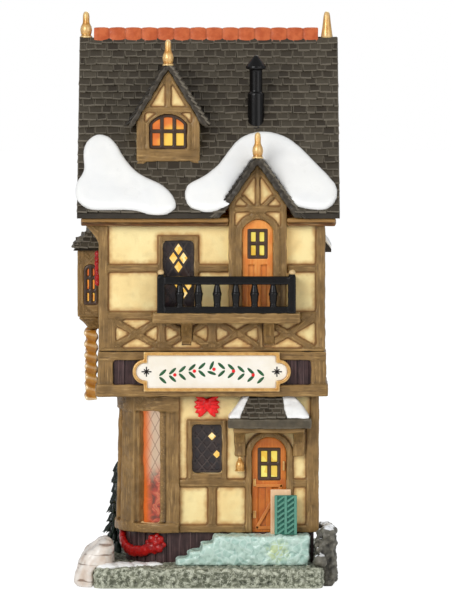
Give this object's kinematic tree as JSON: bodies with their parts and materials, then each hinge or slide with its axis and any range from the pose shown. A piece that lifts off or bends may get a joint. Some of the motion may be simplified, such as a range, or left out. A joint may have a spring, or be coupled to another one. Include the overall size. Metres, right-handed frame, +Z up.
{
  "type": "ceramic village house",
  "caption": "Lit porcelain half-timbered village shop with snowy shingled roof, balcony, bow window, porch, fir tree and a clip-in lamp at the rear.",
  "frame": {"origin": "on the ground under the middle of the house", "axes": "+Z up, the shop front faces -Y, +X to the viewer's right"},
  "size_m": [0.1064, 0.108, 0.2285],
  "materials": {
    "plaster": "warm cream painted bisque under clear glaze",
    "roof_shingle": "dark grey-brown glazed shingles",
    "ridge_orange": "orange glazed ridge tiles",
    "gold": "bright gold paint",
    "timber": "olive-brown painted timber",
    "boards": "dark purple-brown painted boards",
    "snow": "glossy white glaze",
    "black_glaze": "glossy black glaze",
    "window_bar": "dark brown painted bars",
    "lattice": "dark painted lattice",
    "lit_film": "translucent amber film",
    "door": "orange-brown painted boards",
    "sign": "plain white panel",
    "ribbon": "bright red gloss",
    "fir": "near-black green glaze",
    "leaning": "cream and teal paint",
    "stone": "grey-green speckled stone glaze",
    "ice": "pale mint icy glaze",
    "lamp_plastic": "off-white moulded plastic",
    "contact": "bare brass",
    "clip_steel": "bare spring steel",
    "bulb_metal": "bare pressed metal",
    "bulb_glass": "clear glass"
  },
  "bodies": {
    "house": {"attic_gables": "plaster", "balcony_brackets": "timber", "balcony_door": "door", "balcony_floor": "timber", "balcony_rail_ends": "black_glaze", "balcony_rail_front": "black_glaze", "base_slab": "stone", "canopy_snow": "snow", "door_bell": "gold", "door_fittings": "gold", "dormer_roof": "roof_shingle", "dormer_timbers": "timber", "dormer_walls": "plaster", "eaves_cornice": "timber", "entry_steps": "ice", "finials": "gold", "fir_tree": "fir", "flue_pipe": "black_glaze", "front_door": "door", "gable_roof": "roof_shingle", "gable_timbers": "timber", "gable_wall": "plaster", "jetty_boards": "boards", "jetty_rails": "timber", "leaning_boards": "leaning", "lower_storey": "plaster", "lower_timbers": "timber", "main_roof": "roof_shingle", "oriel_bracket": "gold", "oriel_corbel": "timber", "oriel_roof": "roof_shingle", "oriel_walls": "plaster", "plinth": "boards", "porch_brackets": "timber", "porch_roof": "roof_shingle", "ribbon_bow": "ribbon", "ridge_tiles": "ridge_orange", "roof_snow": "snow", "shop_swag": "ribbon", "shop_window_film": "lit_film", "shop_window_frame": "timber", "side_hood": "roof_shingle", "side_rocks": "stone", "sign_board": "sign", "sign_frame": "gold", "snow_bank": "snow", "upper_storey": "plaster", "upper_timbers": "timber", "window_bars": "window_bar", "window_films": "lit_film", "window_lattice": "lattice"},
    "lamp_holder": {"lamp_housing": "lamp_plastic", "socket_contacts": "contact"},
    "clip_left": {"clip_left": "clip_steel"},
    "clip_right": {"clip_right": "clip_steel"},
    "bulb_tip": {"bulb_tip": "bulb_metal"},
    "bulb": {"bulb_cap": "bulb_metal", "bulb_glass": "bulb_glass", "bulb_filament": "bulb_glass"}
  },
  "joints": [
    {"name": "lamp_pull", "type": "slide", "parent": "house", "child": "lamp_holder", "axis": [0, 1, 0], "range_m": [0, 0.08]},
    {"name": "clip_left_flex", "type": "hinge", "parent": "lamp_holder", "child": "clip_left", "pos_m": [-0.00665, 0.0377, 0.0468], "axis": [0, 0, -1], "range_deg": [0, 8], "stiffness_Nm_per_rad": 0.02},
    {"name": "clip_right_flex", "type": "hinge", "parent": "lamp_holder", "child": "clip_right", "pos_m": [0.01685, 0.0377, 0.0468], "axis": [0, 0, 1], "range_deg": [0, 8], "stiffness_Nm_per_rad": 0.02},
    {"name": "bulb_travel", "type": "slide", "parent": "lamp_holder", "child": "bulb_tip", "axis": [0, -1, 0], "range_m": [0, 0.00762]},
    {"name": "bulb_turn", "type": "hinge", "parent": "bulb_tip", "child": "bulb", "pos_m": [0.0051, 0, 0.0468], "axis": [0, -1, 0], "range_deg": [0, 1080]}
  ],
  "couplings": [
    {"joint": "bulb_turn", "follows": "bulb_travel", "rad_per_m": 2473.7}
  ]
}
